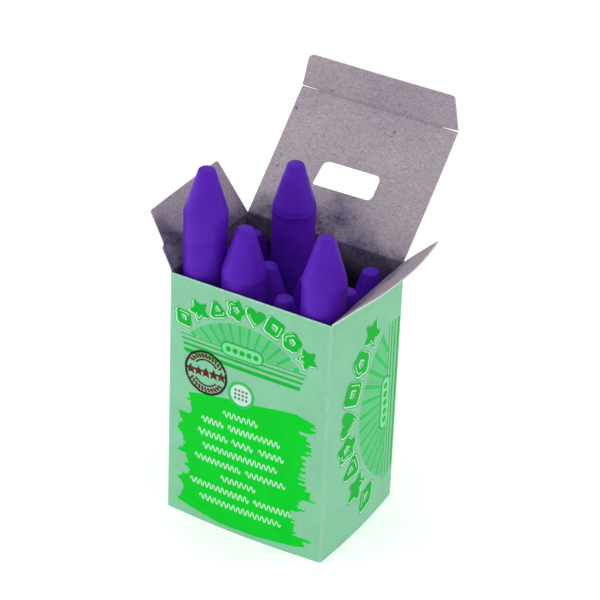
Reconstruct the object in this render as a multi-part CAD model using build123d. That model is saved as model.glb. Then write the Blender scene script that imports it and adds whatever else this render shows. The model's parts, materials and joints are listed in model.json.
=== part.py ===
from build123d import *

import math
import os

# An open tuck-top carton of twelve thick wax crayons, in millimetres.
# Origin: middle of the carton's base. +Z up, -Y printed front, +Y back with the lid, +X right side.

# ---- driving dimensions ----
BOARD = 0.45                 # thickness of the folding boxboard
CARTON_WIDTH = 55.9          # outside, along X
CARTON_DEPTH = 44.4          # outside, along Y
CARTON_HEIGHT = 85.4         # to the cut top edge of the front panel
CREASE_GAP = 0.05            # half of the gap that stands for a crease line
LAYER_GAP = 0.1              # between two boards that lie one on the other
GLUE = 0.1                   # thickness of the adhesive film in the back seam

LID_LEAN = 45.5              # degrees that the open lid leans back from upright
LID_TUCK_FOLD = 44.4         # degrees that the tuck flap is folded in from the lid's plane
LEFT_FLAP_LEAN = 26.3        # degrees outward from upright
RIGHT_FLAP_LEAN = 45.5

LID_SIDE_INSET = 0.3         # the lid is this much narrower than the carton on each side
LID_TUCK_LENGTH = 11.9
LID_TUCK_TAPER = 2.05        # how far each side of the tuck flap runs in over its length
LID_TUCK_CORNER = 2.6
SLIT_LENGTH = 5.5            # lock slit cut along the crease at each end
SLIT_WIDTH = 0.5

WINDOW_WIDTH = 20.4          # finger window through the lid
WINDOW_HEIGHT = 8.3
WINDOW_CENTRE = 18.95        # from the lid's hinge crease
WINDOW_ASIDE = 0.65          # towards the left of the carton
WINDOW_CORNER = 2.0

DUST_LENGTH = 19.6
DUST_BACK_TAPER = 5.1        # the back edge of a dust flap slopes in by this much
DUST_SHOULDER = 7.5          # height of the straight shoulder at the front edge
DUST_STEP = 1.3              # the front edge steps in above the shoulder
DUST_CLEARANCE = 0.5         # between a dust flap and the corner beside it
BOTTOM_DUST_INSET = 2.0      # front and back clearance of the dust flaps in the base
BOTTOM_DUST_TAPER = 3.0

BOTTOM_SIDE_INSET = 0.25
BOTTOM_TUCK_LENGTH = 8.0
BOTTOM_TUCK_INSET = 1.2
BOTTOM_TUCK_CORNER = 2.0
GLUE_FLAP_WIDTH = 12.0
GLUE_FLAP_TAPER = 6.0        # slope of the glue flap's two ends
GLUE_FLAP_END_GAP = 1.0      # it stops short of the base and of the top edge
GLUE_MARGIN = 1.0            # bare strip around the adhesive

CRAYON_RADIUS = 6.75
CRAYON_LENGTH = 83.0
CONE_HEIGHT = 14.0
TIP_RADIUS = 2.5
TIP_ROUND = 0.9
EDGE_BEAD = 0.05             # the moulding bead where the cone meets the barrel
END_CHAMFER = 0.5
CRAYON_PITCH = 13.74
FRONT_ROW_Y = -14.3
MIDDLE_ROW_Y = 0.2
BACK_ROW_Y = 14.3
THIRD_FRONT_Y = -13.65       # the seated front crayon stands clear of the base's tuck flap

# how far each crayon is pulled up out of the carton, left to right
FRONT_LIFTS = (35.4, 19.6, 0.0, 25.4)
MIDDLE_LIFTS = (0.0, 0.0, 0.0, 0.0)
BACK_LIFTS = (0.0, 28.5, 0.0, 0.0)

# ---- worked out from them ----
HALF_W = CARTON_WIDTH / 2
HALF_D = CARTON_DEPTH / 2
FLAP_REACH = CARTON_DEPTH - BOARD - LAYER_GAP    # depth of the lid, and of the base to its tuck
DUST_LEVEL = BOARD + LAYER_GAP                   # underside of the dust flaps in the base
SEAM_Y = HALF_D - BOARD - GLUE                   # outer face of the glue flap
CRAYON_FLOOR = DUST_LEVEL + BOARD + CREASE_GAP   # the crayons' seat
SEAM_LOW = DUST_LEVEL + BOARD + GLUE_FLAP_END_GAP
SEAM_HIGH = CARTON_HEIGHT - GLUE_FLAP_END_GAP
CUT = 2.0                                        # reach of the mitre cutters, past any board


def board(outline, mitres=(), rounds=None):
    """A flat piece of board with its outer face on w = 0 and its inner face on w = -BOARD.

    outline is in (u, v), where v = 0 is the hinge or base crease. Each mitre is a pair of
    outline points, and that edge is bevelled by 45 degrees so that it can fold inwards.
    rounds maps a corner's place in the outline to its radius.
    """
    flat = make_face(Polyline(*outline, close=True))
    for place, radius in (rounds or {}).items():
        corner = Vector(*outline[place])
        vertex = min(flat.vertices(), key=lambda v: (Vector(v) - corner).length)
        flat = fillet(vertex, radius)
    plate = extrude(flat, amount=-BOARD)
    for start, end in mitres:
        plate -= mitre_cutter(Vector(*start), Vector(*end))
    return plate


def mitre_cutter(start, end):
    """A prism that bevels the edge from start to end, which has the board on its left."""
    along = (end - start).normalized()
    inward = Vector(0, 0, 1).cross(along)
    frame = Plane(origin=start - along * CUT, x_dir=inward, z_dir=along)
    # in this plane x runs into the board and y runs along its outward normal
    profile = make_face(Polyline((0, 0), (CUT, -CUT), (-CUT, -CUT), (-CUT, 0), close=True))
    return extrude(frame * profile, amount=(end - start).length + 2 * CUT)


def placed(plate, origin, v_dir, outward):
    """Puts a board's crease at origin, running up along v_dir with its printed face outward."""
    v, w = Vector(*v_dir), Vector(*outward)
    return Plane(origin=origin, x_dir=v.cross(w), z_dir=w).location * plate


def rectangle(u0, u1, v0, v1):
    """Corners anticlockwise from the low left one."""
    return [(u0, v0), (u1, v0), (u1, v1), (u0, v1)]


def edge(outline, number):
    """The outline's side that starts at corner number."""
    return outline[number], outline[(number + 1) % len(outline)]


def front_panel():
    shape = rectangle(-HALF_W, HALF_W, 0, CARTON_HEIGHT)
    plate = board(shape, [edge(shape, 1), edge(shape, 3)])
    return placed(plate, (0, -HALF_D, 0), (0, 0, 1), (0, -1, 0))


def back_panel():
    """Its left edge lies over the glue flap, so only the other three are creases."""
    shape = rectangle(-HALF_W, HALF_W, CREASE_GAP, CARTON_HEIGHT - CREASE_GAP)
    plate = board(shape, [edge(shape, 0), edge(shape, 2), edge(shape, 3)])
    return placed(plate, (0, HALF_D, 0), (0, 0, 1), (0, 1, 0))


def right_side_panel():
    shape = rectangle(-HALF_D, HALF_D, DUST_LEVEL, CARTON_HEIGHT - CREASE_GAP)
    plate = board(shape, [edge(shape, n) for n in range(4)])
    return placed(plate, (HALF_W, 0, 0), (0, 0, 1), (1, 0, 0))


def left_side_panel():
    """It ends at the glue flap's outer face, one film of glue short of the back panel."""
    shape = rectangle(-SEAM_Y, HALF_D, DUST_LEVEL, CARTON_HEIGHT - CREASE_GAP)
    plate = board(shape, [edge(shape, n) for n in range(4)])
    return placed(plate, (-HALF_W, 0, 0), (0, 0, 1), (-1, 0, 0))


def seam_outline(low, high, start):
    """A trapezium for the glue flap and its adhesive, from u = start."""
    end = HALF_W - GLUE_FLAP_WIDTH + (HALF_W - start)
    return [(end, low + GLUE_FLAP_TAPER), (start, low), (start, high), (end, high - GLUE_FLAP_TAPER)]


def glue_flap():
    shape = seam_outline(SEAM_LOW, SEAM_HIGH, HALF_W)
    plate = board(shape, [edge(shape, 1)])
    return placed(plate, (0, SEAM_Y, 0), (0, 0, 1), (0, 1, 0))


def seam_glue():
    start = HALF_W - BOARD - GLUE_MARGIN
    shape = seam_outline(SEAM_LOW + GLUE_MARGIN, SEAM_HIGH - GLUE_MARGIN, start)
    film = extrude(make_face(Polyline(*shape, close=True)), amount=GLUE)
    return placed(film, (0, SEAM_Y, 0), (0, 0, 1), (0, 1, 0))


def bottom_panel():
    """Creased to the back panel. Its square front edge meets the tuck flap's inner face."""
    half = HALF_W - BOTTOM_SIDE_INSET
    shape = rectangle(-half, half, CREASE_GAP, FLAP_REACH - BOARD - CREASE_GAP)
    plate = board(shape, [edge(shape, 0)])
    return placed(plate, (0, HALF_D, 0), (0, -1, 0), (0, 0, -1))


def bottom_tuck_flap():
    """It turns on its inner face, so that it can fold right down onto the bottom panel."""
    half = HALF_W - BOTTOM_TUCK_INSET
    shape = rectangle(-half, half, BOARD + CREASE_GAP, BOTTOM_TUCK_LENGTH)
    plate = board(shape, rounds={2: BOTTOM_TUCK_CORNER, 3: BOTTOM_TUCK_CORNER})
    return placed(plate, (0, HALF_D - FLAP_REACH, 0), (0, 0, 1), (0, -1, 0))


def bottom_dust_flap(side):
    """side is -1 on the left and 1 on the right."""
    near, far = HALF_D - BOTTOM_DUST_INSET, HALF_D - BOTTOM_DUST_INSET - BOTTOM_DUST_TAPER
    shape = [(-near, 0), (near, 0), (far, DUST_LENGTH), (-far, DUST_LENGTH)]
    plate = board(shape, [edge(shape, 0)])
    return placed(plate, (side * HALF_W, 0, DUST_LEVEL), (-side, 0, 0), (0, 0, -1))


def lid_panel():
    half = HALF_W - LID_SIDE_INSET
    shape = rectangle(-half, half, CREASE_GAP, FLAP_REACH - CREASE_GAP)
    plate = board(shape, [edge(shape, 0), edge(shape, 2)])
    window = RectangleRounded(WINDOW_WIDTH, WINDOW_HEIGHT, WINDOW_CORNER)
    plate -= Pos(WINDOW_ASIDE, WINDOW_CENTRE, -CUT) * extrude(window, amount=2 * CUT)
    return placed(plate, (0, HALF_D, CARTON_HEIGHT), up_from_upright(LID_LEAN), face_when(LID_LEAN))


def up_from_upright(lean):
    """Direction up a panel hinged at the back and leaning back by lean degrees."""
    return (0, math.sin(math.radians(lean)), math.cos(math.radians(lean)))


def face_when(lean):
    """Outward direction of the printed face of the same panel."""
    return (0, math.cos(math.radians(lean)), -math.sin(math.radians(lean)))


def lid_tuck_flap():
    half = HALF_W - LID_SIDE_INSET
    tip = half - LID_TUCK_TAPER
    shape = [(-half, CREASE_GAP), (half, CREASE_GAP), (tip, LID_TUCK_LENGTH), (-tip, LID_TUCK_LENGTH)]
    plate = board(shape, [edge(shape, 0)], {2: LID_TUCK_CORNER, 3: LID_TUCK_CORNER})
    for side in (-1, 1):
        slit = Box(2 * SLIT_LENGTH, 2 * SLIT_WIDTH, 2 * CUT)
        plate -= Pos(side * half, CREASE_GAP, 0) * slit
    up = up_from_upright(LID_LEAN)
    crease = (0, HALF_D + FLAP_REACH * up[1], CARTON_HEIGHT + FLAP_REACH * up[2])
    lean = LID_LEAN - LID_TUCK_FOLD
    return placed(plate, crease, up_from_upright(lean), face_when(lean))


def dust_flap(side, lean):
    """side is -1 on the left and 1 on the right. The front edge has a shoulder and a step."""
    half = HALF_D - DUST_CLEARANCE
    ends = [
        (-half, CREASE_GAP),
        (half, CREASE_GAP),
        (half, DUST_SHOULDER),
        (half - DUST_STEP, DUST_SHOULDER + DUST_STEP),
        (half - DUST_STEP, DUST_LENGTH),
        (DUST_BACK_TAPER - HALF_D, DUST_LENGTH),
    ]
    # on the left u runs towards the front, on the right towards the back
    shape = ends if side < 0 else [(-u, v) for u, v in reversed(ends)]
    creases = [edge(shape, 0)] if side < 0 else [edge(shape, 4)]
    lean = math.radians(lean)
    up = (side * math.sin(lean), 0, math.cos(lean))
    outward = (side * math.cos(lean), 0, -math.sin(lean))
    return placed(board(shape, creases), (side * HALF_W, 0, CARTON_HEIGHT), up, outward)


def crayon():
    """A turned bar with a cone, standing on z = 0."""
    cone_base = CRAYON_LENGTH - CONE_HEIGHT
    rim = CRAYON_RADIUS + EDGE_BEAD
    profile = Polyline(
        (0, 0),
        (CRAYON_RADIUS - END_CHAMFER, 0),
        (CRAYON_RADIUS, END_CHAMFER),
        (CRAYON_RADIUS, cone_base - 4 * EDGE_BEAD),
        (rim, cone_base - 2 * EDGE_BEAD),
        (rim, cone_base),
        (TIP_RADIUS, CRAYON_LENGTH),
        (0, CRAYON_LENGTH),
        close=True,
    )
    flat = make_face(Plane.XZ * profile)
    tip = min(flat.vertices(), key=lambda v: (Vector(v) - Vector(TIP_RADIUS, 0, CRAYON_LENGTH)).length)
    return revolve(fillet(tip, TIP_ROUND), Axis.Z)


def crayon_rows():
    """Every crayon's node name and the place of its foot."""
    front = [FRONT_ROW_Y, FRONT_ROW_Y, THIRD_FRONT_Y, FRONT_ROW_Y]
    rows = (
        ("front", front, FRONT_LIFTS),
        ("middle", [MIDDLE_ROW_Y] * 4, MIDDLE_LIFTS),
        ("back", [BACK_ROW_Y] * 4, BACK_LIFTS),
    )
    for row, depths, lifts in rows:
        for column in range(4):
            x = (column - 1.5) * CRAYON_PITCH
            yield f"crayon_{row}_{column + 1}", (x, depths[column], CRAYON_FLOOR + lifts[column])


parts = {
    "front_panel": front_panel(),
    "back_panel": back_panel(),
    "left_side_panel": left_side_panel(),
    "right_side_panel": right_side_panel(),
    "glue_flap": glue_flap(),
    "seam_glue": seam_glue(),
    "bottom_panel": bottom_panel(),
    "bottom_tuck_flap": bottom_tuck_flap(),
    "bottom_dust_flap_left": bottom_dust_flap(-1),
    "bottom_dust_flap_right": bottom_dust_flap(1),
    "lid_panel": lid_panel(),
    "lid_tuck_flap": lid_tuck_flap(),
    "left_dust_flap": dust_flap(-1, LEFT_FLAP_LEAN),
    "right_dust_flap": dust_flap(1, RIGHT_FLAP_LEAN),
}
for name, foot in crayon_rows():
    parts[name] = Pos(*foot) * crayon()

os.makedirs("parts", exist_ok=True)
for name, shape in parts.items():
    export_step(shape, f"parts/{name}.step")
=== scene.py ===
import json
import math
import random

import bpy
from mathutils import Matrix, Vector, kdtree, noise
from mathutils.geometry import delaunay_2d_cdt


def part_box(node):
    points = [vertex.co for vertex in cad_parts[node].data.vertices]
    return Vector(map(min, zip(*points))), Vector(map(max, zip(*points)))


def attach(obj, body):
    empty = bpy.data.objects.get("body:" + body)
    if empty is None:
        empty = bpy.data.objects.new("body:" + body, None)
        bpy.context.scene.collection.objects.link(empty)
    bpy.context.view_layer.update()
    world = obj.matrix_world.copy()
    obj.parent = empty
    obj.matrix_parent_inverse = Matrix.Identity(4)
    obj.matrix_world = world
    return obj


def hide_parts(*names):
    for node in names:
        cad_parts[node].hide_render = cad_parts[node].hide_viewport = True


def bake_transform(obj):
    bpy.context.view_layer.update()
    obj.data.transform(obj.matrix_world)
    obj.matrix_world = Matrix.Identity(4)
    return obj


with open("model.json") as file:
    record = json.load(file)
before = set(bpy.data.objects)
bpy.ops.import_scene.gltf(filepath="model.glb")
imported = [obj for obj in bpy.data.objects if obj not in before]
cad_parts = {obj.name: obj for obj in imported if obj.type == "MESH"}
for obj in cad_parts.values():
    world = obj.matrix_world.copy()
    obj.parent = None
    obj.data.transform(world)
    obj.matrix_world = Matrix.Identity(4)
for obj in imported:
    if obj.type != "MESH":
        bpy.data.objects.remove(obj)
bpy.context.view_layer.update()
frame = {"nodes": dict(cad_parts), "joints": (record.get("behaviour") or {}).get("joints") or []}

# ---- sizes, in millimetres, worked out from the frame ----
MM = 0.001
front_low, front_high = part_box("front_panel")
right_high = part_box("right_side_panel")[1]
lid_pivot = Vector(next(j["pos_m"] for j in frame["joints"] if j["name"] == "lid_hinge")) / MM
tuck_pivot = Vector(next(j["pos_m"] for j in frame["joints"] if j["name"] == "lid_tuck_hinge")) / MM
HALF_W = front_high.x / MM
HALF_D = right_high.y / MM
HEIGHT = front_high.z / MM
BOARD = (front_high.y - front_low.y) / MM
LID_LENGTH = (tuck_pivot - lid_pivot).length
LID_LEAN = math.atan2(tuck_pivot.y - lid_pivot.y, tuck_pivot.z - lid_pivot.z)
TUCK_LEAN = math.radians(1.1)    # every lean is back or outward from upright
LEFT_LEAN = math.radians(26.3)
RIGHT_LEAN = math.radians(45.5)
FLAP_LENGTH = 19.6           # of a dust flap, from its crease
TUCK_LENGTH = 11.9
LOCK_SLIT = 5.5              # cut in from each end of the tuck flap's crease
SIDE_INSET = 0.3             # the lid is narrower than the carton by this on each side
DUST_INSET = 0.5             # and a dust flap by this
CORNER_ROUND = 0.7           # outer radius of the upright creases
SCUFF = 0.3                  # width of the scuffed line along the top edges
FOOT_HOLD = 20.0             # how far up a wall its creased foot keeps it from bulging
BASE_GAP = 0.05              # between the base panel and the side walls
HINGE_GAP = 0.03             # between a flap's edge and its crease line
MITRE_REACH = 0.4            # points nearer to a crease than this belong to its mitre
RIM_ROUND = 0.06             # softened cut edges of the board
MESH_STEP = 2.0              # between the points of a sheet that bends


# ---- shader helpers ----
def linear(red, green, blue):
    """A display colour, 0 to 255, as the shader's linear colour."""
    def one(c):
        c /= 255
        return c / 12.92 if c <= 0.04045 else ((c + 0.055) / 1.055) ** 2.4
    return (one(red), one(green), one(blue), 1.0)


class Shader:
    """One material and short ways to add its nodes."""

    def __init__(self, name, roughness, specular=0.5):
        self.material = bpy.data.materials.new(name)
        self.material.use_nodes = True
        self.tree = self.material.node_tree
        self.surface = self.tree.nodes["Principled BSDF"]
        self.surface.inputs["Roughness"].default_value = roughness
        self.surface.inputs["Specular IOR Level"].default_value = specular
        self.place = self.tree.nodes.new("ShaderNodeTexCoord").outputs["Object"]

    def join(self, source, target):
        if isinstance(source, bpy.types.NodeSocket):
            self.tree.links.new(source, target)
        else:
            target.default_value = source

    def stretched(self, scale):
        node = self.tree.nodes.new("ShaderNodeMapping")
        node.inputs["Scale"].default_value = scale
        self.join(self.place, node.inputs["Vector"])
        return node.outputs["Vector"]

    def noise(self, size, detail=3.0, rough=0.55, stretch=None, warp=0.0):
        """Noise whose features are about size millimetres."""
        node = self.tree.nodes.new("ShaderNodeTexNoise")
        node.inputs["Scale"].default_value = 1 / (size * MM)
        node.inputs["Detail"].default_value = detail
        node.inputs["Roughness"].default_value = rough
        node.inputs["Distortion"].default_value = warp
        self.join(self.stretched(stretch) if stretch else self.place, node.inputs["Vector"])
        return node.outputs["Fac"]

    def ramp(self, value, low, high, out_low=0.0, out_high=1.0):
        """value from low to high, mapped smoothly to out_low to out_high."""
        node = self.tree.nodes.new("ShaderNodeMapRange")
        node.interpolation_type = "SMOOTHSTEP"
        self.join(value, node.inputs["Value"])
        for socket, number in zip(node.inputs[1:5], (low, high, out_low, out_high)):
            socket.default_value = number
        return node.outputs["Result"]

    def math(self, operation, first, second=0.0):
        node = self.tree.nodes.new("ShaderNodeMath")
        node.operation = operation
        self.join(first, node.inputs[0])
        self.join(second, node.inputs[1])
        return node.outputs[0]

    def mix(self, factor, first, second):
        node = self.tree.nodes.new("ShaderNodeMix")
        node.data_type = "RGBA"
        self.join(factor, node.inputs["Factor"])
        self.join(first, node.inputs[6])
        self.join(second, node.inputs[7])
        return node.outputs[2]

    def along(self, axis):
        """Where the point is along an axis of the object, in metres."""
        node = self.tree.nodes.new("ShaderNodeSeparateXYZ")
        self.join(self.place, node.inputs[0])
        return node.outputs[axis]

    def bump(self, value, depth):
        """Adds relief of depth millimetres, on top of any that is already there."""
        node = self.tree.nodes.new("ShaderNodeBump")
        node.inputs["Distance"].default_value = depth * MM
        self.join(value, node.inputs["Height"])
        before = self.surface.inputs["Normal"].links
        if before:
            self.join(before[0].from_socket, node.inputs["Normal"])
        self.join(node.outputs["Normal"], self.surface.inputs["Normal"])

    def colour(self, source):
        self.join(source, self.surface.inputs["Base Color"])
        return self.material


# ---- materials ----
MINT = linear(130, 193, 156)
PATCH_GREEN = linear(2, 197, 40)
BADGE_GREEN = linear(16, 175, 52)
PLAQUE_GREEN = linear(124, 212, 150)
SOFT_GREEN = linear(48, 190, 92)
DARK_GREEN = linear(48, 140, 84)
PALE_GREEN = linear(176, 228, 190)
DISC_WHITE = linear(200, 217, 210)
STAMP_RED = linear(108, 18, 26)
STAMP_DARK = linear(34, 26, 22)
GREY_BOARD = linear(178, 167, 175)
GREY_BOARD_DARK = linear(169, 157, 168)
FIBRE_DARK = linear(98, 84, 97)
FIBRE_PALE = linear(210, 203, 210)
SMUDGE = linear(58, 46, 92)
# dark colour for inside the carton: partly wax dust, partly painted shade
WAX_DUST_AND_SHADE = linear(34, 27, 46)
RAW_EDGE = linear(204, 199, 200)
WAX = linear(86, 30, 176)
WAX_PALE = linear(103, 50, 194)
WAX_DEEP = linear(80, 25, 168)


def ink(name, colour, streak=None, variation=0.04, worn=None):
    """Mottled print with fine relief. Where noise passes worn, the mint shows through."""
    shader = Shader(name, 0.55, 0.06)
    mottle = shader.ramp(shader.noise(9, 3), 0.3, 0.7)
    grain = shader.ramp(shader.noise(0.45, 2, stretch=streak), 0.4, 0.7)
    light = tuple(c * (1 + variation) for c in colour[:3]) + (1,)
    dark = tuple(c * (1 - variation) for c in colour[:3]) + (1,)
    body = shader.mix(mottle, dark, light)
    bright = tuple(min(1, c * 1.35) for c in colour[:3]) + (1,)
    body = shader.mix(shader.math("MULTIPLY", grain, 0.3), body, bright)
    if worn:
        gaps = shader.ramp(shader.noise(0.55, 4, 0.7), worn, worn + 0.05)
        body = shader.mix(gaps, body, MINT)
    shader.bump(shader.noise(0.3, 2), 0.012)
    shader.bump(shader.noise(3.5, 3), 0.05)
    return shader.colour(body)


def grey_board():
    """The unprinted side: grey recycled board with fibres, specks and violet wax smudges.

    The smudges lie below a wandering level a little above the mouth. Behind the back wall,
    on the lid, the level is higher in the middle and lower at the sides. It is also higher at
    the front of the left dust flap. Inside the carton, the board darkens downward, partly as
    wax dust and partly as painted shade between the crayons.
    """
    shader = Shader("grey_board", 0.8, 0.15)
    cloud = shader.ramp(shader.noise(24, 2), 0.35, 0.65)
    body = shader.mix(cloud, GREY_BOARD_DARK, GREY_BOARD)
    strands = shader.noise(0.8, 4, 0.8, stretch=(1, 1.8, 1.8), warp=0.9)
    body = shader.mix(shader.ramp(strands, 0.46, 0.62, 0, 0.5), body, FIBRE_DARK)
    strands = shader.noise(0.7, 4, 0.8, stretch=(2.0, 1, 1), warp=0.7)
    body = shader.mix(shader.ramp(strands, 0.5, 0.64, 0, 0.6), body, FIBRE_PALE)
    rare = shader.ramp(shader.noise(2.2, 1), 0.74, 0.78, 0, 0.8)
    body = shader.mix(rare, body, FIBRE_DARK)
    drift = shader.math("MULTIPLY", shader.noise(14, 2), 14 * MM)
    behind = shader.math("MAXIMUM", shader.math("SUBTRACT", shader.along("Y"), HALF_D * MM), 0.0)
    aside = shader.math("MULTIPLY", shader.math("ABSOLUTE", shader.along("X")), 0.055 / MM)
    rise = shader.math("MULTIPLY", behind, shader.math("SUBTRACT", aside, 0.6))
    level = shader.math("ADD", shader.math("ADD", shader.along("Z"), rise), drift)
    left = shader.ramp(shader.along("X"), -HALF_W * MM, (4 - HALF_W) * MM, 1.0, 0.0)
    front = shader.ramp(shader.along("Y"), -22 * MM, -6 * MM, 9 * MM, 0.0)
    level = shader.math("SUBTRACT", level, shader.math("MULTIPLY", left, front))
    near_mouth = shader.ramp(level, (HEIGHT + 8.5) * MM, (HEIGHT + 15.5) * MM, 1.0, 0.0)
    patches = shader.ramp(shader.noise(5, 4, 0.6), 0.34, 0.66, 0.55, 1.0)
    specks = shader.ramp(shader.noise(0.9, 2, 0.6), 0.5, 0.66, 0.75, 1.0)
    dirt = shader.math("MULTIPLY", shader.math("MULTIPLY", patches, specks), near_mouth)
    body = shader.mix(shader.math("MULTIPLY", dirt, 0.95), body, SMUDGE)
    # painted shade, partly wax dust: below the mouth the board darkens downward, standing in for the
    # shadow deep between the crayons
    dust_and_shade = shader.ramp(shader.along("Z"), (HEIGHT - 12) * MM, (HEIGHT + 0.4) * MM, 0.9, 0.25)
    inside = shader.ramp(shader.along("Z"), (HEIGHT - 0.2) * MM, (HEIGHT + 0.2) * MM, 1.0, 0.0)
    body = shader.mix(shader.math("MULTIPLY", dust_and_shade, inside), body, WAX_DUST_AND_SHADE)
    shader.bump(shader.noise(0.35, 3, 0.6), 0.03)
    shader.bump(shader.noise(4, 3), 0.12)
    return shader.colour(body)


def raw_edge():
    """Where the board is cut: pale, layered fibres."""
    shader = Shader("raw_edge", 0.85, 0.2)
    layers = shader.ramp(shader.noise(0.3, 3), 0.3, 0.7)
    body = shader.mix(layers, RAW_EDGE, linear(222, 220, 218))
    shader.bump(shader.noise(0.2, 2), 0.03)
    return shader.colour(body)


def worn_crease():
    """Print that has cracked white along a fold."""
    shader = Shader("worn_crease", 0.6, 0.15)
    low = shader.ramp(shader.along("Z"), (HEIGHT - 0.6) * MM, (HEIGHT - 0.2) * MM, 0.30, 0.95)
    cracks = shader.ramp(shader.noise(0.7, 4, 0.7, stretch=(1, 1, 0.35)), 0.35, 0.7, 0.2, 1.0)
    cracks = shader.math("MULTIPLY", cracks, low)
    body = shader.mix(cracks, MINT, linear(206, 234, 216))
    shader.bump(shader.noise(0.25, 2), 0.02)
    return shader.colour(body)


def wax():
    """Satin violet wax, slightly translucent, with cloudy colour, fine mould rings and scuffs."""
    shader = Shader("violet_wax", 0.45, 0.1)
    cloud = shader.ramp(shader.noise(7, 4), 0.3, 0.7)
    body = shader.mix(cloud, WAX_DEEP, WAX)
    scuffs = shader.ramp(shader.noise(1.1, 5, 0.7, stretch=(1, 1, 0.22)), 0.6, 0.8, 0, 0.15)
    body = shader.mix(scuffs, body, WAX_PALE)
    surface = shader.surface.inputs
    surface["Subsurface Weight"].default_value = 0.08
    surface["Subsurface Radius"].default_value = (0.9, 0.35, 1.2)
    surface["Subsurface Scale"].default_value = 0.6 * MM
    shader.join(shader.ramp(shader.noise(2.2, 4), 0.3, 0.75, 0.36, 0.54), surface["Roughness"])
    shader.bump(shader.noise(0.9, 2, stretch=(0.12, 0.12, 1)), 0.02)
    shader.bump(shader.noise(0.3, 3), 0.012)
    shader.bump(shader.noise(4, 2), 0.03)
    return shader.colour(body)


def dried_glue():
    """The film of adhesive: yellowish, with a low gloss."""
    shader = Shader("dried_glue", 0.35, 0.5)
    body = shader.mix(shader.noise(2, 3), linear(226, 214, 184), linear(240, 234, 214))
    shader.bump(shader.noise(1, 3), 0.03)
    return shader.colour(body)


def floor_paper():
    """White paper, with a little light coming up through it as on a light table."""
    shader = Shader("floor_paper", 0.9, 0.1)
    shader.surface.inputs["Emission Color"].default_value = (1, 1, 1, 1)
    shader.surface.inputs["Emission Strength"].default_value = 0.30
    body = shader.mix(shader.noise(30, 3), linear(246, 246, 246), linear(250, 250, 250))
    return shader.colour(body)


PRINTED = ink("mint_print", MINT)
GREY = grey_board()
EDGE = raw_edge()
WORN = worn_crease()
BOARD_SKINS = (PRINTED, GREY, EDGE, WORN)
OUTER, INNER, RIM, FOLDED = range(4)
WAX_SKIN = wax()
GLUE_SKIN = dried_glue()
INK_PATCH = ink("patch_green_ink", PATCH_GREEN, streak=(0.4, 0.4, 1.5))
INK_BADGE = ink("badge_green_ink", BADGE_GREEN, streak=(0.4, 0.4, 1.5))
INK_PLAQUE = ink("plaque_green_ink", PLAQUE_GREEN)
INK_SOFT = ink("soft_green_ink", SOFT_GREEN)
INK_DARK = ink("dark_green_ink", DARK_GREEN)
INK_PALE = ink("pale_green_ink", PALE_GREEN)
INK_WHITE = ink("disc_white_ink", DISC_WHITE, variation=0.03)
INK_RED = ink("stamp_red_ink", STAMP_RED, worn=0.60)
INK_BLACK = ink("stamp_dark_ink", STAMP_DARK, worn=0.60)


# ---- flat shapes: lists of points (u, v) with faces over them ----
def spaced(ring, step):
    """The closed ring with extra points so that no side is longer than step."""
    out = []
    for (u0, v0), (u1, v1) in zip(ring, ring[1:] + ring[:1]):
        parts = max(1, math.ceil(math.hypot(u1 - u0, v1 - v0) / step))
        out += [(u0 + (u1 - u0) * i / parts, v0 + (v1 - v0) * i / parts) for i in range(parts)]
    return out


def holds(ring, u, v):
    """Is (u, v) inside the closed ring?"""
    within = False
    for (u0, v0), (u1, v1) in zip(ring, ring[1:] + ring[:1]):
        if (v0 > v) != (v1 > v) and u < (u1 - u0) * (v - v0) / (v1 - v0) + u0:
            within = not within
    return within


def rounded(corners, arc_points=5):
    """An outline from (u, v, radius) corners, anticlockwise, with its corners rounded."""
    out = []
    for number, (u, v, radius) in enumerate(corners):
        here = Vector((u, v))
        before = (Vector(corners[number - 1][:2]) - here).normalized()
        after = (Vector(corners[(number + 1) % len(corners)][:2]) - here).normalized()
        if radius == 0:
            out.append((u, v))
            continue
        half = before.angle(after) / 2
        centre = here + (before + after).normalized() * radius / math.sin(half)
        start = here + before * radius / math.tan(half) - centre
        end = here + after * radius / math.tan(half) - centre
        for i in range(arc_points + 1):
            out.append(tuple(centre + start.slerp(end, i / arc_points) * radius))
    return out


def cut_sheet(outline, holes=(), step=MESH_STEP):
    """Points and triangles that fill the outline, with points inside so that it can bend."""
    rings = [spaced(list(ring), step) for ring in (outline, *holes)]
    points, sides = [], []
    for ring in rings:
        first = len(points)
        points += ring
        sides += [(first + i, first + (i + 1) % len(ring)) for i in range(len(ring))]
    near = kdtree.KDTree(len(points))
    for i, (u, v) in enumerate(points):
        near.insert((u, v, 0), i)
    near.balance()
    us, vs = zip(*rings[0])
    for i in range(1, int((max(us) - min(us)) / step) + 1):
        for j in range(1, int((max(vs) - min(vs)) / step) + 1):
            u, v = min(us) + i * step, min(vs) + j * step
            clear = near.find((u, v, 0))[2] > 0.6 * step
            if clear and holds(rings[0], u, v) and not any(holds(r, u, v) for r in rings[1:]):
                points.append((u, v))
    flat, _, faces, *_ = delaunay_2d_cdt([Vector(p) for p in points], sides, [], 1, 1e-6)
    kept = []
    for face in faces:
        u = sum(flat[i].x for i in face) / len(face)
        v = sum(flat[i].y for i in face) / len(face)
        if holds(rings[0], u, v) and not any(holds(r, u, v) for r in rings[1:]):
            kept.append(tuple(face))
    return [tuple(p) for p in flat], kept


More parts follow.
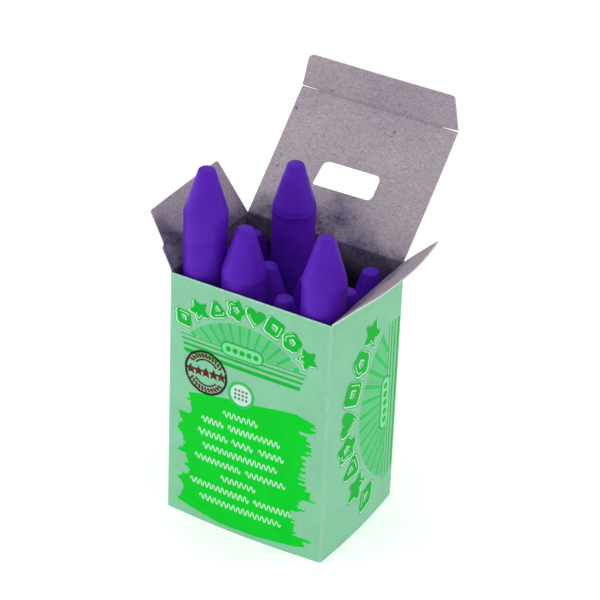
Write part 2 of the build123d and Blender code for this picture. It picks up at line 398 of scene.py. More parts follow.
def stroke(path, width, closed=False):
    """A pen line along the path, with round ends unless it is closed."""
    line = [Vector(p) for p in path]
    last = len(line) - 1
    cap_points = 5
    points, faces = [], []
    for i, here in enumerate(line):
        before = line[i - 1] if i or closed else here
        after = line[(i + 1) % len(line)] if i < last or closed else here
        along = (after - before).normalized()
        aside = Vector((-along.y, along.x)) * width / 2
        points += [tuple(here - aside), tuple(here + aside)]
    count = len(line) if closed else last
    for i in range(count):
        a, b = 2 * i, 2 * ((i + 1) % len(line))
        faces.append((a, b, b + 1, a + 1))
    if not closed:
        for end, other, corner in ((0, 1, 1), (last, last - 1, 2 * last)):
            out = (line[end] - line[other]).normalized()
            start = Vector(points[corner]) - line[end]
            first = len(points)
            for k in range(1, cap_points):
                turn = math.pi * k / cap_points
                swing = start * math.cos(turn) + out * (width / 2) * math.sin(turn)
                points.append(tuple(line[end] + swing))
            ring = [corner] + list(range(first, len(points)))
            ring.append(corner - 1 if end == 0 else corner + 1)
            faces.append(tuple(ring))
    return points, faces


def disc(u, v, radius, count=40):
    return cut_sheet([polar(u, v, radius, 360 * i / count) for i in range(count)])


def polar(u, v, radius, degrees):
    """The point at a radius and an angle from (u, v)."""
    turn = math.radians(degrees)
    return (u + radius * math.cos(turn), v + radius * math.sin(turn))


def moved(shapes, turned, shift):
    """The shapes turned a quarter anticlockwise if asked, and shifted."""
    out = []
    for points, faces in shapes:
        spun = [(-v, u) if turned else (u, v) for u, v in points]
        out.append(([(u + shift[0], v + shift[1]) for u, v in spun], faces))
    return out


# ---- solids from flat shapes ----
def seat(origin, up, outward):
    """The matrix that puts (u, v, w) on the object, v running up and w outward, in millimetres."""
    v, w = Vector(up).normalized(), Vector(outward).normalized()
    matrix = Matrix((v.cross(w), v, w)).transposed().to_4x4()
    matrix.translation = Vector(origin)
    return matrix


def thickened(points, faces, top, bottom, inset=None, folded=None):
    """A closed skin over a flat shape, from w = bottom(u, v) to w = top(u, v).

    inset moves the lower layer's points, for a bevelled crease. folded(u, v) is true on a
    crease, where the edge isn't cut and has the colour of the inner face.
    """
    count = len(points)
    cells = [(u, v, top(u, v)) for u, v in points]
    cells += [(*(inset(u, v) if inset else (u, v)), bottom(u, v)) for u, v in points]
    sides = [(f[i], f[(i + 1) % len(f)]) for f in faces for i in range(len(f))]
    known = set(sides)
    rims = [(b, a, a + count, b + count) for a, b in sides if (b, a) not in known]
    skin = list(faces) + [tuple(i + count for i in reversed(f)) for f in faces] + rims
    kinds = [OUTER] * len(faces) + [INNER] * len(faces)
    for a, b, *_ in rims:
        on_crease = folded and folded(*points[a]) and folded(*points[b])
        kinds.append(INNER if on_crease else RIM)
    return cells, skin, kinds


def piece(name, cells, faces, place, skins, kinds=None, soften=0.0):
    """A mesh object from millimetre points, shaded smooth with its sharp edges kept.

    kinds gives each face's place in skins. soften is the radius of its rounded edges.
    """
    matrix = Matrix.Scale(MM, 4) @ (place or Matrix.Identity(4))
    mesh = bpy.data.meshes.new(name)
    mesh.from_pydata([matrix @ Vector(c) for c in cells], [], faces)
    for skin in skins:
        mesh.materials.append(skin)
    if kinds:
        mesh.polygons.foreach_set("material_index", kinds)
    mesh.polygons.foreach_set("use_smooth", [True] * len(mesh.polygons))
    mesh.validate()
    mesh.set_sharp_from_angle(angle=math.radians(38))
    obj = bpy.data.objects.new(name, mesh)
    bpy.context.scene.collection.objects.link(obj)
    if soften:
        bevel = obj.modifiers.new("soft_edges", "BEVEL")
        bevel.width = soften * MM
        bevel.segments = 2
        bevel.limit_method = "ANGLE"
        bevel.angle_limit = math.radians(50)
    return obj


def merged(solids):
    """Several (cells, faces, kinds) as one."""
    cells, faces, kinds = [], [], []
    for some_cells, some_faces, some_kinds in solids:
        first = len(cells)
        cells += some_cells
        faces += [tuple(i + first for i in f) for f in some_faces]
        kinds += some_kinds
    return cells, faces, kinds


def board_piece(name, node, body, place, shape, bend=None, inset=None, folded=None):
    """One panel or flap of the carton, standing for its CAD node.

    bend(u, v) is how far it stands outward of flat. inset and folded are as in thickened.
    """
    curve = bend or (lambda u, v: 0.0)
    if folded is None:
        folded = (lambda u, v: abs(v) < 2 * HINGE_GAP)
    cells, faces, kinds = thickened(*shape, curve, lambda u, v: curve(u, v) - BOARD, inset, folded)
    obj = piece(name, cells, faces, place, BOARD_SKINS, kinds, RIM_ROUND)
    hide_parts(node)
    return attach(obj, body)


def rectangle(u0, u1, v0, v1):
    return [(u0, v0), (u1, v0), (u1, v1), (u0, v1)]


# ---- the four walls ----
class Wall:
    """An upright panel, with its place, half width and how far its middle bulges.

    With a creased foot, the base panel folds from it, which keeps the foot straight.
    """

    def __init__(self, name, origin, outward, half, bulge, creased_foot=False):
        self.name = name
        self.place = seat(origin, (0, 0, 1), outward)
        self.half = half
        self.bulge = bulge
        self.creased_foot = creased_foot

    def swell(self, u, v):
        """How far the crayons press the wall outward: most at mid width, none at the top."""
        across = math.cos(math.pi / 2 * max(-1, min(1, u / self.half)))
        held = max(0, 1 - v / FOOT_HOLD) ** 2 if self.creased_foot else 0
        upward = max(0, 1 - (v / HEIGHT) ** 2) ** 1.5
        return self.bulge * across * (1 - held) * upward


FRONT = Wall("front_panel", (0, -HALF_D, 0), (0, -1, 0), HALF_W, 1.3)
RIGHT = Wall("right_side_panel", (HALF_W, 0, 0), (1, 0, 0), HALF_D, 1.0)
BACK = Wall("back_panel", (0, HALF_D, 0), (0, 1, 0), HALF_W, 0.7, creased_foot=True)
LEFT = Wall("left_side_panel", (-HALF_W, 0, 0), (-1, 0, 0), HALF_D, 0.9)


def wall_section(half, low_end=None, high_end=None):
    """(u, w, turn) across a wall's outer face, from mid corner to mid corner.

    low_end or high_end is where a wall stops straight, instead of turning a corner.
    """
    flat = half - CORNER_ROUND
    turns = [math.pi / 4 * i / 4 for i in range(1, 5)]

    def corner(turn, side):
        u = side * (flat + CORNER_ROUND * math.sin(turn))
        return u, CORNER_ROUND * (math.cos(turn) - 1), side * turn

    start = flat if low_end is None else -low_end
    stop = flat if high_end is None else high_end
    count = math.ceil((start + stop) / MESH_STEP)
    section = [corner(t, -1) for t in reversed(turns)] if low_end is None else []
    section += [(-start + (start + stop) * i / count, 0.0, 0.0) for i in range(count + 1)]
    section += [corner(t, 1) for t in turns] if high_end is None else []
    return section


def build_wall(wall, low_end=None, high_end=None, hinged=False):
    """One wall. If a flap is hinged on it, its top edge is a crease and isn't cut.

    A creased foot is mitred: its inner face starts one board higher.
    """
    section = wall_section(wall.half, low_end, high_end)
    even = math.ceil(HEIGHT / MESH_STEP)
    levels = [HEIGHT * row / even for row in range(even)] + [HEIGHT - SCUFF, HEIGHT]
    rows = len(levels) - 1
    cells, kinds = [], []
    for depth in (0.0, BOARD):
        for level in levels:
            v = max(level, depth) if wall.creased_foot else level
            for u, w, turn in section:
                out = w + wall.swell(u, v) - depth * math.cos(turn)
                cells.append((u - depth * math.sin(turn), v, out))
    wide, layer = len(section), len(section) * (rows + 1)
    faces = []
    for row in range(rows):
        for i in range(wide - 1):
            a = row * wide + i
            faces.append((a, a + 1, a + 1 + wide, a + wide))
            folded = abs(section[i][2]) + abs(section[i + 1][2]) > 0 or row == rows - 1
            kinds.append(FOLDED if folded else OUTER)
    outside = list(faces)
    faces += [tuple(i + layer for i in reversed(f)) for f in outside]
    kinds += [INNER] * len(outside)
    top = rows * wide
    for i in range(wide - 1):
        faces.append((i + 1, i, i + layer, i + 1 + layer))
        faces.append((top + i, top + i + 1, top + i + 1 + layer, top + i + layer))
        kinds += [RIM, INNER if hinged else FOLDED]
    for row in range(rows):
        a, b = row * wide, row * wide + wide - 1
        faces.append((a, a + wide, a + wide + layer, a + layer))
        faces.append((b + wide, b, b + layer, b + wide + layer))
    kinds += [RIM] * (len(faces) - len(kinds))
    obj = piece(f"{wall.name}_board", cells, faces, wall.place, BOARD_SKINS, kinds, RIM_ROUND)
    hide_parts(wall.name)
    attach(obj, "carton")


def build_walls():
    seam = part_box("left_side_panel")[1].y / MM
    build_wall(FRONT)
    build_wall(RIGHT, hinged=True)
    build_wall(BACK, high_end=HALF_W, hinged=True)
    build_wall(LEFT, low_end=-seam, hinged=True)


def build_seam():
    """The glue flap and its adhesive follow the back wall, just inside it."""
    low, high = (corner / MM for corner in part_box("glue_flap"))
    reach = high.x - low.x
    film = (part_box("seam_glue")[1].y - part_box("seam_glue")[0].y) / MM
    slope = reach / 2
    outline = [
        (HALF_W - reach, low.z + slope), (HALF_W - BOARD / 2, low.z),
        (HALF_W - BOARD / 2, high.z), (HALF_W - reach, high.z - slope),
    ]
    depth = BOARD + film

    def behind(u, v):
        return BACK.swell(u, v) - depth

    board_piece("glue_flap_board", "glue_flap", "carton", BACK.place, cut_sheet(outline), behind,
                folded=lambda u, v: True)
    middle_u, middle_v = HALF_W - reach / 2, (low.z + high.z) / 2
    smaller = [
        (middle_u + (u - middle_u) * 0.8, middle_v + (v - middle_v) * 0.96) for u, v in outline
    ]
    cells, faces, _ = thickened(
        *cut_sheet(smaller), lambda u, v: BACK.swell(u, v) - BOARD, behind)
    obj = piece("seam_glue_film", cells, faces, BACK.place, (GLUE_SKIN,))
    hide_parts("seam_glue")
    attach(obj, "carton")


# ---- the flaps ----
def leaning_back(lean):
    """The directions up and outward of a panel at the back that leans back from upright."""
    return (0, math.sin(lean), math.cos(lean)), (0, math.cos(lean), -math.sin(lean))


def mitre_at(crease, direction):
    """Draws the inner face back by one board along the crease at height v."""
    def inset(u, v):
        return u, v + direction * BOARD if abs(v - crease) < MITRE_REACH else v
    return inset


def build_lid():
    """The lid, bowed, with its window, and its tuck flap, with a lock slit at each side."""
    half = HALF_W - SIDE_INSET
    up, out = leaning_back(LID_LEAN)
    window = rounded([(-9.5, 14.9, 1.9), (11.2, 14.6, 0.4), (10.4, 23.0, 2.3), (-9.5, 23.2, 1.8)])
    shape = cut_sheet(rectangle(-half, half, HINGE_GAP, LID_LENGTH - HINGE_GAP), [window])

    def bow(u, v):
        return 0.45 * math.sin(math.pi * v / LID_LENGTH) * (1 - 0.4 * (u / half) ** 2)

    def creased(u, v):
        return v < 2 * HINGE_GAP or v > LID_LENGTH - 2 * HINGE_GAP

    board_piece("lid_panel_board", "lid_panel", "lid", seat(lid_pivot, up, out), shape, bow,
                mitre_at(LID_LENGTH - HINGE_GAP, -1), creased)

    up, out = leaning_back(TUCK_LEAN)
    tip = half - 2.05
    outline = rounded([
        (LOCK_SLIT - half, HINGE_GAP, 0), (half - LOCK_SLIT, HINGE_GAP, 0), (half, 0.16, 0),
        (tip, TUCK_LENGTH, 2.6), (-tip, TUCK_LENGTH, 1.4), (-half, 0.36, 0),
    ])

    def curl(u, v):
        return -0.25 * (v / TUCK_LENGTH) ** 2 + 0.2 * (u / half) ** 2 * v / TUCK_LENGTH

    board_piece("lid_tuck_flap_board", "lid_tuck_flap", "lid_tuck", seat(tuck_pivot, up, out),
                cut_sheet(outline), curl, mitre_at(HINGE_GAP, 1))


def dust_outline(side):
    """side -1 is the left flap. Its front edge has a shoulder and a small step."""
    half = HALF_D - DUST_INSET
    stepped = half - 1.3
    ends = [
        (-half, HINGE_GAP, 0), (half, HINGE_GAP, 0), (half, 7.5, 0), (stepped, 8.8, 0.6),
        (stepped, FLAP_LENGTH, 0.8), (5.1 - HALF_D, FLAP_LENGTH, 1.0),
    ]
    if side < 0:
        return rounded(ends)
    return rounded([(-u, v, r) for u, v, r in reversed(ends)])


def build_dust_flaps():
    """droop bends a flap outward at mid width, and lift raises its back end."""
    for side, name, body, lean, droop, lift in (
        (-1, "left_dust_flap", "left_flap", LEFT_LEAN, 0.4, 0.3),
        (1, "right_dust_flap", "right_flap", RIGHT_LEAN, 1.0, 1.4),
    ):
        up = (side * math.sin(lean), 0, math.cos(lean))
        out = (side * math.cos(lean), 0, -math.sin(lean))

        def curl(u, v, side=side, droop=droop, lift=lift):
            middle = math.cos(math.pi / 2 * u / HALF_D)
            back = max(0, side * u / HALF_D) ** 1.5
            return (droop * middle - lift * back) * (v / FLAP_LENGTH) ** 1.3

        place = seat((side * HALF_W, 0, HEIGHT), up, out)
        board_piece(f"{name}_board", name, body, place, cut_sheet(dust_outline(side)), curl)


def build_base():
    """The base panel between the walls, its tuck flap and two dust flaps, all flat."""
    low, high = (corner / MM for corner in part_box("bottom_panel"))
    under = seat((0, HALF_D, 0), (0, -1, 0), (0, 0, -1))
    side = HALF_W - BOARD - BASE_GAP
    near = HALF_D - high.y
    shape = cut_sheet(rectangle(-side, side, near, HALF_D - low.y), step=4)
    board_piece("bottom_panel_board", "bottom_panel", "base", under, shape,
                inset=mitre_at(near, 1))
    low, high = (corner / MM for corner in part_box("bottom_tuck_flap"))
    outline = rounded([
        (low.x, low.z, 0), (high.x, low.z, 0), (high.x, high.z, 2.0), (low.x, high.z, 2.0)])
    board_piece("bottom_tuck_flap_board", "bottom_tuck_flap", "base_tuck",
                seat((0, low.y, 0), (0, 0, 1), (0, -1, 0)), cut_sheet(outline, step=4))
    for side, node in ((-1, "bottom_dust_flap_left"), (1, "bottom_dust_flap_right")):
        low, high = (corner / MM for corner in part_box(node))
        reach = high.x - low.x
        outline = rounded([
            (-high.y, 0, 0), (high.y, 0, 0), (high.y - 3, reach, 1.5), (3 - high.y, reach, 1.5)])
        place = seat((side * HALF_W, 0, low.z), (-side, 0, 0), (0, 0, -1))
        board_piece(f"{node}_board", node, "carton", place, cut_sheet(outline, step=4))


def build_fold(name, pivot, start, end, depth, half):
    """The board's own bend at a hinge crease: a slice that fills the fold as it stands at rest.

    It is a fan about pivot, from the direction start to end, half as long as the crease
    on each side of the middle.
    """
    along = start.cross(end).normalized()
    count = 8
    section = [pivot] + [
        pivot + start.normalized().slerp(end.normalized(), i / count) * depth
        for i in range(count + 1)
    ]
    wide = len(section)
    cells = [p + along * side for side in (-half, half) for p in section]
    faces = [(i, (i + 1) % wide, (i + 1) % wide + wide, i + wide) for i in range(wide)]
    faces += [tuple(reversed(range(wide))), tuple(range(wide, 2 * wide))]
    obj = piece(name, cells, faces, None, (GREY,))
    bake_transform(obj)


def build_folds():
    half = HALF_W - SIDE_INSET
    lid_up, lid_out = (Vector(way) for way in leaning_back(LID_LEAN))
    tuck_up, tuck_out = (Vector(way) for way in leaning_back(TUCK_LEAN))
    build_fold("lid_crease", lid_pivot, Vector((0, -1, 0)), -lid_out, BOARD, half)
    build_fold("tuck_crease", tuck_pivot, -lid_up - lid_out,
               tuck_up - tuck_out, BOARD * 0.9, half - LOCK_SLIT)
    for side, name, lean in ((-1, "left_flap", LEFT_LEAN), (1, "right_flap", RIGHT_LEAN)):
        inward = Vector((-side * math.cos(lean), 0, math.sin(lean)))
        build_fold(f"{name}_crease", Vector((side * HALF_W, 0, HEIGHT)),
                   Vector((-side, 0, 0)), inward, BOARD, HALF_D - DUST_INSET)


# ---- the print: generic shapes in place of the lettering ----
SINK = 0.05                  # how far the ink's lower face is under the board's surface
PROUD = 0.012                # how far the lowest layer of ink stands out of it
LAYER = 0.022                # each layer of ink lies this much above the one before


class Badge:
    """The sizes of the printed badge, from the middle of its lowest stripe, in millimetres.

    The arch's centre is arch_drop below, and its drawings are spread to that many degrees on
    each side. glyph scales them, across and up. stripes holds (low, thickness, left, right).
    plaque holds its middle (u, v), half its length, and the radius of its ends.
    """

    def __init__(self, arch_drop, arch_radius, spread, glyph, stripes, plaque):
        self.arch_centre = (0.4, -arch_drop)
        self.arch_radius = arch_radius
        self.spread = spread
        self.glyph = glyph
        self.stripes = stripes
        self.plaque = plaque


FRONT_BADGE = Badge(
    arch_drop=10.9, arch_radius=31.0, spread=44.0, glyph=(1.08, 1.14),
    stripes=(
        (5.5, 0.32, -22.2, 22.1), (3.9, 0.55, -21.7, 21.4),
        (2.0, 0.85, -21.3, 20.9), (-0.4, 1.35, -21.0, 20.2),
    ),
    plaque=(-0.3, 5.8, 7.5, 2.55),
)
SIDE_BADGE = Badge(
    arch_drop=8.6, arch_radius=39.4, spread=49.0, glyph=(1.42, 1.7),
    stripes=(
        (5.9, 0.4, -30.0, 28.4), (4.1, 0.6, -29.6, 28.2),
        (2.1, 0.75, -29.0, 28.0), (-0.3, 1.0, -27.5, 28.0),
    ),
    plaque=(0.1, 7.2, 9.6, 3.0),
)


def print_layer(name, wall, level, skin, shapes):
    """Ink shapes on a wall, as thin solids set into its face."""
    top = LAYER * level + PROUD
    solids = [
        thickened(*shape, lambda u, v: wall.swell(u, v) + top, lambda u, v: wall.swell(u, v) - SINK)
        for shape in shapes
    ]
    cells, faces, _ = merged(solids)
    obj = piece(f"{wall.name}_{name}", cells, faces, wall.place, (skin,))
    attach(obj, "carton")


def doodles():
    """Eight small drawings, about 6 mm across, each with whether it has a hole in the middle."""
    turns = [5 * i for i in range(72)]
    flower = [polar(0, 0, 2.7 + 0.42 * math.cos(math.radians(5 * t + 30)), t) for t in turns]
    points = [(*polar(0, 0, 3.7 if i % 2 == 0 else 1.9, 90 + 36 * i), 0.4) for i in range(10)]
    star = rounded(points, 3)
    triangle = rounded([(-3.3, -2.7, 1.0), (3.3, -2.7, 1.0), (0, 3.2, 1.0)])
    square = rounded([(-2.8, -2.5, 1.0), (2.5, -2.8, 1.0), (2.8, 2.5, 1.0), (-2.5, 2.8, 1.0)])
    diamond = rounded([(0, -3.5, 0.9), (2.9, 0, 0.9), (0, 3.5, 0.9), (-2.9, 0, 0.9)])
    cloud = [polar(0, 0, 2.5 + 0.5 * abs(math.sin(math.radians(2.5 * t))), t) for t in turns]
    heart = []
    for t in turns:
        turn = -math.radians(t)
        high = 2.6 * math.cos(turn) - 1.0 * math.cos(2 * turn) - 0.35 * math.cos(3 * turn)
        heart.append((3.0 * math.sin(turn) ** 3, high))
    return (
        (diamond, True), (star, False), (triangle, True), (flower, True),
        (heart, False), (square, True), (cloud, True), (star, False),
    )


def on_arch(badge, shift=(0.0, 0.0)):
    """Each drawing, from the left, with a function that sets its points on the arch."""
    drawings = doodles()
    wide, tall = badge.glyph
    for number, (path, hollow) in enumerate(drawings):
        degrees = 90 + badge.spread * (1 - 2 * number / (len(drawings) - 1))
        place = Vector(polar(*badge.arch_centre, badge.arch_radius, degrees)) + Vector(shift)
        turn = Matrix.Rotation(math.radians(degrees - 90), 2)

        def put(points, scale, place=place, turn=turn):
            return [tuple(turn @ Vector((x * wide, y * tall)) * scale + place) for x, y in points]

        yield path, hollow, put


def doodle_shapes(badge, grow, hole, shift=(0.0, 0.0)):
    """The drawings, made larger by grow, with their holes scaled by hole."""
    out = []
    for path, hollow, put in on_arch(badge, shift):
        out.append(cut_sheet(put(path, grow), [put(path, hole)] if hollow else [], step=2.5))
    return out


def doodle_gloss(badge):
    """A fine pale line inside each drawing, along part of its outline."""
    out = []
    for path, _, put in on_arch(badge):
        part = path[int(len(path) * 0.3):int(len(path) * 0.62)]
        out.append(stroke(put(part, 0.74), 0.3))
    return out


def rays(badge):
    """A fan between the stripes and the arch: wedges with five fine lines after each."""
    focus = (0.0, -4.0)
    foot = badge.stripes[0][0] + 0.6
    inner_edge = badge.arch_radius - 4.3 * badge.glyph[1]
    off_u, off_v = focus[0] - badge.arch_centre[0], focus[1] - badge.arch_centre[1]

    def ray(degrees, spread):
        aim = math.radians(degrees)
        near = (foot - focus[1]) / math.sin(aim)
        middle = off_u * math.cos(aim) + off_v * math.sin(aim)
        far = -middle + math.sqrt(middle ** 2 + inner_edge ** 2 - off_u ** 2 - off_v ** 2)
        corners = [
            polar(*focus, radius, degrees + side * spread / 2)
            for radius, side in ((near, 1), (near, -1), (far, -1), (far, 1))
        ]
        return cut_sheet(corners, step=4) if far > near + 0.6 else None

    out = []
    for group in range(12):
        middle = 30 + 10.8 * group
        out.append(ray(middle, 3.8))
        out += [ray(middle + 2.9 + 1.25 * i, 0.6) for i in range(5)]
    return [shape for shape in out if shape]


def stripes(badge):
    """Four bands with slanted ends, each thicker than the one above."""
    out = []
    for low, thick, left, right in badge.stripes:
        lean = thick * 0.35
        out.append(cut_sheet([
            (left + lean, low), (right - lean, low), (right, low + thick), (left, low + thick)]))
    return out


def stadium(u, v, half_length, radius):
    """A bar with round ends."""
    low, high, left, right = v - radius, v + radius, u - half_length, u + half_length
    bend = radius * 0.999
    return rounded([(left, low, bend), (right, low, bend), (right, high, bend), (left, high, bend)], 8)


def print_badge(wall, badge, turned, shift):
    """The arch of drawings, rays, stripes and a plaque with five dots."""
    def put(name, level, skin, shapes):
        print_layer(name, wall, level, skin, moved(shapes, turned, shift))

    put("rays", 0, INK_SOFT, rays(badge))
    put("stripes", 1, INK_BADGE, stripes(badge))
    put("doodle_shadow", 2, INK_DARK, doodle_shapes(badge, 1.15, 0.22, (-0.36, -0.30)))
    put("doodle_gap", 3, INK_PALE, doodle_shapes(badge, 1.09, 0.27, (-0.30, -0.25)))
    put("doodle", 4, INK_BADGE, doodle_shapes(badge, 1.0, 0.36))
    put("doodle_gloss", 5, INK_PALE, doodle_gloss(badge))
    u, v, half, radius = badge.plaque
    put("plaque_rim", 2, INK_DARK, [cut_sheet(stadium(u, v, half, radius))])
    put("plaque_band", 3, INK_SOFT, [cut_sheet(stadium(u, v, half - 0.25, radius - 0.25))])
    put("plaque_field", 4, INK_PLAQUE, [cut_sheet(stadium(u, v, half - 0.6, radius - 0.6))])
    spacing = half / 3.1
    dots = [disc(u + spacing * i, v, radius * 0.36, count=20) for i in (-2, -1, 0, 1, 2)]
    put("plaque_dots", 5, INK_BADGE, dots)


# Each row's height and where its words start and stop, from the wall's lower left corner.
TEXT_ROWS = (
    (42.6, ((20.2, 32.4),)),
    (38.0, ((12.6, 20.4), (22.2, 40.3))),
    (33.2, ((11.4, 22.0), (23.7, 31.0), (33.2, 41.8))),
    (28.5, ((13.2, 39.8),)),
    (23.7, ((10.5, 27.0), (29.0, 42.8))),
    (18.8, ((20.2, 32.5),)),
    (14.1, ((8.9, 30.3), (32.2, 45.3))),
    (9.3, ((12.5, 41.8),)),
)


def brush_side(rng, deep, shallow, low, high):
    """(u, v) up one side of the painted patch, with blunt ends like the marks of a dry brush."""
    out, v = [], low
    base = rng.uniform(deep, shallow)
    while v < high:
        if rng.random() < 0.3:
            base = rng.uniform(deep, shallow)
        u = base + rng.uniform(-0.22, 0.22) * abs(shallow - deep)
        thick = rng.uniform(0.35, 1.1)
        out += [(u, v), (u + rng.uniform(-0.3, 0.3), v + thick)]
        v += thick + rng.uniform(0.02, 0.25)
    return out


def paint_patch():
    """A patch of brush paint with ragged sides and an uneven top and foot."""
    rng = random.Random(11)
    right = brush_side(rng, 45.5, 53.0, 4.0, 49.0)
    left = brush_side(rng, 8.6, 3.8, 4.5, 44.5)
    top = [(45.5, 51.2), (38.0, 50.4), (31.0, 49.2), (22.0, 48.3), (12.0, 46.6), (8.0, 45.6)]
    foot = [(8.5, 3.4), (20.0, 1.6), (33.0, 1.7), (46.5, 3.0)]
    ring = spaced(right + top + left[::-1] + foot, 0.9)
    return cut_sheet([(u - HALF_W, v + rng.uniform(-0.02, 0.02)) for u, v in ring], step=2.5)


def wavy_rows():
    """Each row of lettering is a plain wavy pen line, as if drawn by hand."""
    rng = random.Random(3)
    out = []
    for v, words in TEXT_ROWS:
        for start, stop in words:
            waves = max(1, round((stop - start) / 1.7))
            tall = [rng.uniform(0.85, 1.15) for _ in range(2 * waves + 1)]
            path = []
            for i in range(waves * 14 + 1):
                share = i / (waves * 14)
                high = tall[int(share * 2 * waves)] * math.sin(2 * math.pi * waves * share)
                path.append((start + (stop - start) * share - HALF_W, v + high))
            out.append(stroke(path, 0.42))
    return out


def star(u, v, radius, tilt):
    """A five-pointed star, turned by tilt degrees."""
    return [polar(u, v, radius * (1 if i % 2 == 0 else 0.45), 90 + tilt + 36 * i) for i in range(10)]


def arc(u, v, radius, start, stop):
    """Points along an arc, from start to stop degrees."""
    count = 28
    return [polar(u, v, radius, start + (stop - start) * i / count) for i in range(count + 1)]


def stamp(wall, u, v):
    """A round ink stamp: a ring, two inner arcs, blocks between them and a row of stars."""
    ring = [polar(u, v, 7.3 + 0.06 * math.sin(5 * i), 6 * i) for i in range(60)]
    marks = [stroke(ring, 0.7, closed=True)]
    blocks = []
    for middle in (90, 270):
        marks.append(stroke(arc(u, v, 4.5, middle - 52, middle + 52), 0.42))
        for i in range(-5, 6):
            aim = middle + 11.5 * i
            blocks.append(stroke([polar(u, v, 5.5, aim - 2), polar(u, v, 6.4, aim + 2)], 0.62))
    tilt = 3.0
    places = [polar(u, v, 2.75 * i, tilt) for i in (-2, -1, 0, 1, 2)]
    marks += [cut_sheet(star(a, b, 1.85, tilt), step=1) for a, b in places]
    red = [cut_sheet(star(a, b, 1.5, tilt), step=1) for a, b in places]
    print_layer("stamp_dark", wall, 6, INK_BLACK, marks)
    print_layer("stamp_red", wall, 7, INK_RED, red + blocks)


def count_disc(wall, u, v):
    """A ring round twelve dots, four across and three down."""
    print_layer("disc_ring", wall, 2, INK_SOFT, [disc(u, v, 4.7)])
    print_layer("disc_field", wall, 3, INK_WHITE, [disc(u, v, 3.65)])
    spots = [(u + 1.3 * (i - 1.5), v + 1.4 * (j - 1)) for i in range(4) for j in range(3)]
    print_layer("disc_dots", wall, 4, INK_DARK, [disc(*spot, 0.45, count=14) for spot in spots])


def main_face(wall):
    """The front panel's print, without the stamp."""
    print_badge(wall, FRONT_BADGE, False, (26.4 - HALF_W, 60.1))
    print_layer("paint_patch", wall, 0, INK_PATCH, [paint_patch()])
    print_layer("wavy_rows", wall, 1, INK_PALE, wavy_rows())
    count_disc(wall, 26.3 - HALF_W, 51.2)


def build_print():
    main_face(FRONT)
    stamp(FRONT, 13.6 - HALF_W, 54.6)
    main_face(BACK)
    for wall in (RIGHT, LEFT):
        print_badge(wall, SIDE_BADGE, True, (20.6, 39.6))


# ---- the crayons ----
def crayon_profile(length, radius):
    """(radius, height) up a crayon, from the rim of its foot to the middle of its tip."""
    cone, tip, tip_round, foot_round, bead = 14.0, 2.5, 0.9, 0.5, 0.08
    base = length - cone
    out = [(radius * 0.5, 0.0), (radius - foot_round, 0.0)]
    for i in range(1, 5):
        turn = math.pi / 2 * i / 4
        out.append((radius + foot_round * (math.sin(turn) - 1), foot_round * (1 - math.cos(turn))))
    rings = 26
    shoulder = base - 1.7
    out += [(radius, foot_round + (shoulder - foot_round) * i / rings) for i in range(1, rings + 1)]
    out += [
        (radius + bead, shoulder + 0.12), (radius + bead, shoulder + 0.3), (radius, shoulder + 0.42),
        (radius, base - 0.6), (radius, base - 0.12), (radius - 0.03, base + 0.14),
    ]
    slope = math.atan2(cone, radius - tip)
    tip_half = (math.pi - slope) / 2
    set_back = tip_round / math.tan(tip_half)
    start = (tip + set_back * math.cos(slope), length - set_back * math.sin(slope))
    foot_of_cone = (radius - 0.03, base + 0.14)
    for i in range(1, 9):
        share = i / 8
        out.append(tuple(a + (b - a) * share for a, b in zip(foot_of_cone, start)))
    centre = (tip - set_back, length - tip_round)
    first = math.pi / 2 - slope
    for i in range(1, 6):
        turn = first + (math.pi / 2 - first) * i / 5
        out.append((centre[0] + tip_round * math.cos(turn), centre[1] + tip_round * math.sin(turn)))
    out.append((centre[0] * 0.5, length + 0.03))
    return out


def build_crayon(node, number):
    """One crayon, with a slightly wavy surface that differs with its number."""
    low, high = (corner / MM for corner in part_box(node))
    middle = (low + high) / 2
    length = high.z - low.z
    radius = (high.x - low.x) / 2 - 0.05
    around = 72
    profile = crayon_profile(length, radius)
    cells = []
    for ring, (r, z) in enumerate(profile):
        for i in range(around):
            turn = 2 * math.pi * i / around
            spot = Vector((math.cos(turn) * 1.2, math.sin(turn) * 1.2 + 7 * number, z * 0.09))
            wobble = 0.018 * noise.noise(spot) + 0.006 * noise.noise(spot * 4)
            grown = r + (wobble if 2 < ring < len(profile) - 2 else 0)
            aside, away = grown * math.cos(turn), grown * math.sin(turn)
            cells.append((middle.x + aside, middle.y + away, low.z + z))
    faces = []
    for ring in range(len(profile) - 1):
        for i in range(around):
            a, b = ring * around + i, ring * around + (i + 1) % around
            faces.append((a, b, b + around, a + around))
    last = (len(profile) - 1) * around
    foot, tip = len(cells), len(cells) + 1
    cells += [(middle.x, middle.y, low.z), (middle.x, middle.y, high.z + 0.04)]
    for i in range(around):
        j = (i + 1) % around
        faces += [(foot, j, i), (tip, last + i, last + j)]
    obj = piece(f"{node}_wax", cells, faces, None, (WAX_SKIN,))
    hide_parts(node)
    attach(obj, node)


def build_crayons():
    nodes = sorted(name for name in frame["nodes"] if name.startswith("crayon_"))
    for number, node in enumerate(nodes):
        build_crayon(node, number)


# ---- floor, light and camera ----
def build_stage():
    """A floor that fills the view, just under the pack. These sizes are in metres."""
    mesh = bpy.data.meshes.new("floor")
    far, drop = 12.0, 0.00005
    corners = [(-far, -far, 0), (far, -far, 0), (far, far, 0), (-far, far, 0)]
    mesh.from_pydata(corners, [], [(0, 1, 2, 3)])
    mesh.materials.append(floor_paper())
    floor = bpy.data.objects.new("floor", mesh)
    floor.location.z = -drop
    bpy.context.scene.collection.objects.link(floor)


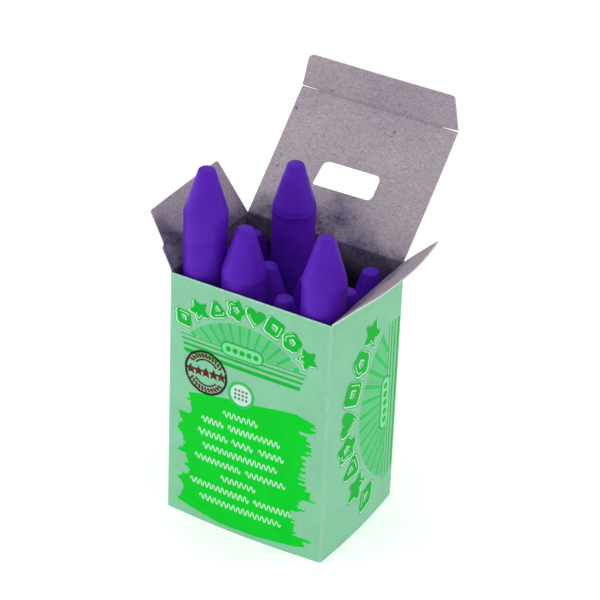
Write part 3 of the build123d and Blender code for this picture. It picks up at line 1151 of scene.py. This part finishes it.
def area_light(name, azimuth, elevation, distance, size, power):
    """A square soft light aimed at the pack. Azimuth 0 is in front, and 90 is on the right."""
    aim = Vector((0, 0, 0.07))
    a, e = math.radians(azimuth), math.radians(elevation)
    back = Vector((math.sin(a) * math.cos(e), -math.cos(a) * math.cos(e), math.sin(e)))
    data = bpy.data.lights.new(name, "AREA")
    data.shape = "SQUARE"
    data.size = size
    data.energy = power
    lamp = bpy.data.objects.new(name, data)
    lamp.location = aim + back * distance
    lamp.rotation_euler = (-back).to_track_quat("-Z", "Y").to_euler()
    bpy.context.scene.collection.objects.link(lamp)


def build_lights():
    world = bpy.data.worlds.new("studio")
    world.use_nodes = True
    sky = world.node_tree.nodes["Background"].inputs
    sky["Color"].default_value = (1, 1, 1, 1)
    sky["Strength"].default_value = 0.80
    bpy.context.scene.world = world
    area_light("key_left", -60, 25, 0.9, 0.6, 1.9)
    area_light("fill_right", 104, 40, 0.8, 0.8, 1.1)
    bpy.context.scene.view_settings.view_transform = "Standard"


def build_camera():
    """The camera that the carton's corners in the photograph were solved for."""
    azimuth, elevation, roll = (math.radians(d) for d in (29.39, 31.41, 2.33))
    target = Vector((0.00453, 0, 0.07541))
    distance, focal_pixels, frame_pixels = 0.8583, 2840, 600
    back = Vector((
        math.sin(azimuth) * math.cos(elevation),
        -math.cos(azimuth) * math.cos(elevation),
        math.sin(elevation),
    ))
    right = (-back).cross(Vector((0, 0, 1))).normalized()
    up = right.cross(-back)
    tilted_right = right * math.cos(roll) + up * math.sin(roll)
    tilted_up = up * math.cos(roll) - right * math.sin(roll)
    data = bpy.data.cameras.new("camera")
    data.sensor_width = 36
    data.lens = focal_pixels / frame_pixels * data.sensor_width
    camera = bpy.data.objects.new("camera", data)
    turn = Matrix((tilted_right, tilted_up, back)).transposed().to_4x4()
    camera.matrix_world = Matrix.Translation(target + back * distance) @ turn
    bpy.context.scene.collection.objects.link(camera)
    bpy.context.scene.camera = camera


build_walls()
build_seam()
build_lid()
build_dust_flaps()
build_base()
build_folds()
build_print()
build_crayons()
build_stage()
build_lights()
build_camera()
